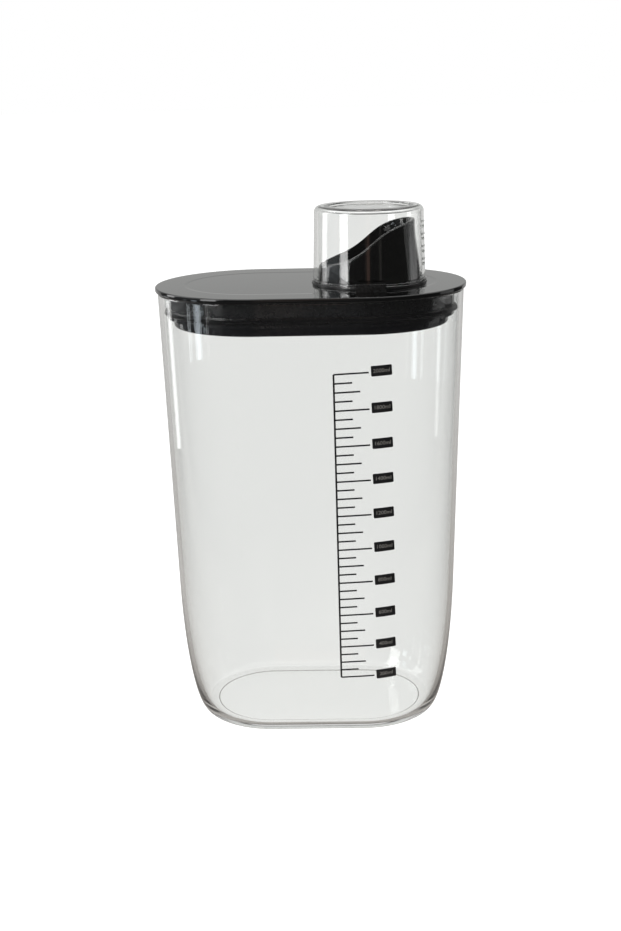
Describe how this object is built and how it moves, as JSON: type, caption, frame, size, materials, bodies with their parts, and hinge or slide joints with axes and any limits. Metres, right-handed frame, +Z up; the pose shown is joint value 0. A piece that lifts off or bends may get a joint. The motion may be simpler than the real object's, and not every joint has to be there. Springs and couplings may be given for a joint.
{
  "type": "cereal container",
  "caption": "Clear upright dry-food container with a black press-in lid, a slanted pour spout and a clear measuring cup that twists on as its cap.",
  "frame": {"origin": "middle of the foot that the container stands on", "axes": "+Z up, +X along the long side towards the pour spout, -Y towards the printed scale"},
  "size_m": [0.154, 0.103, 0.2623],
  "materials": {
    "clear_plastic": "clear, gloss",
    "lid_plastic": "gloss",
    "plug_plastic": "satin gloss",
    "silicone": "matte",
    "cup_plastic": "clear, gloss"
  },
  "bodies": {
    "container": {"container": "clear_plastic"},
    "lid": {"lid_cover": "lid_plastic", "lid_plug": "plug_plastic", "lid_seal": "silicone", "pour_spout": "lid_plastic", "spout_gasket": "silicone"},
    "ring": {"cup_seal": "silicone"},
    "cup": {"measuring_cup": "cup_plastic"}
  },
  "joints": [
    {"name": "lid_lift", "type": "slide", "parent": "container", "child": "lid", "axis": [0, 0, 1], "range_m": [0, 0.08]},
    {"name": "cup_twist", "type": "hinge", "parent": "lid", "child": "ring", "pos_m": [0.0292, 0, 0.2258], "axis": [0, 0, 1], "range_deg": [0, 25]},
    {"name": "cup_lift", "type": "slide", "parent": "ring", "child": "cup", "axis": [0, 0, 1], "range_m": [0, 0.06]}
  ]
}
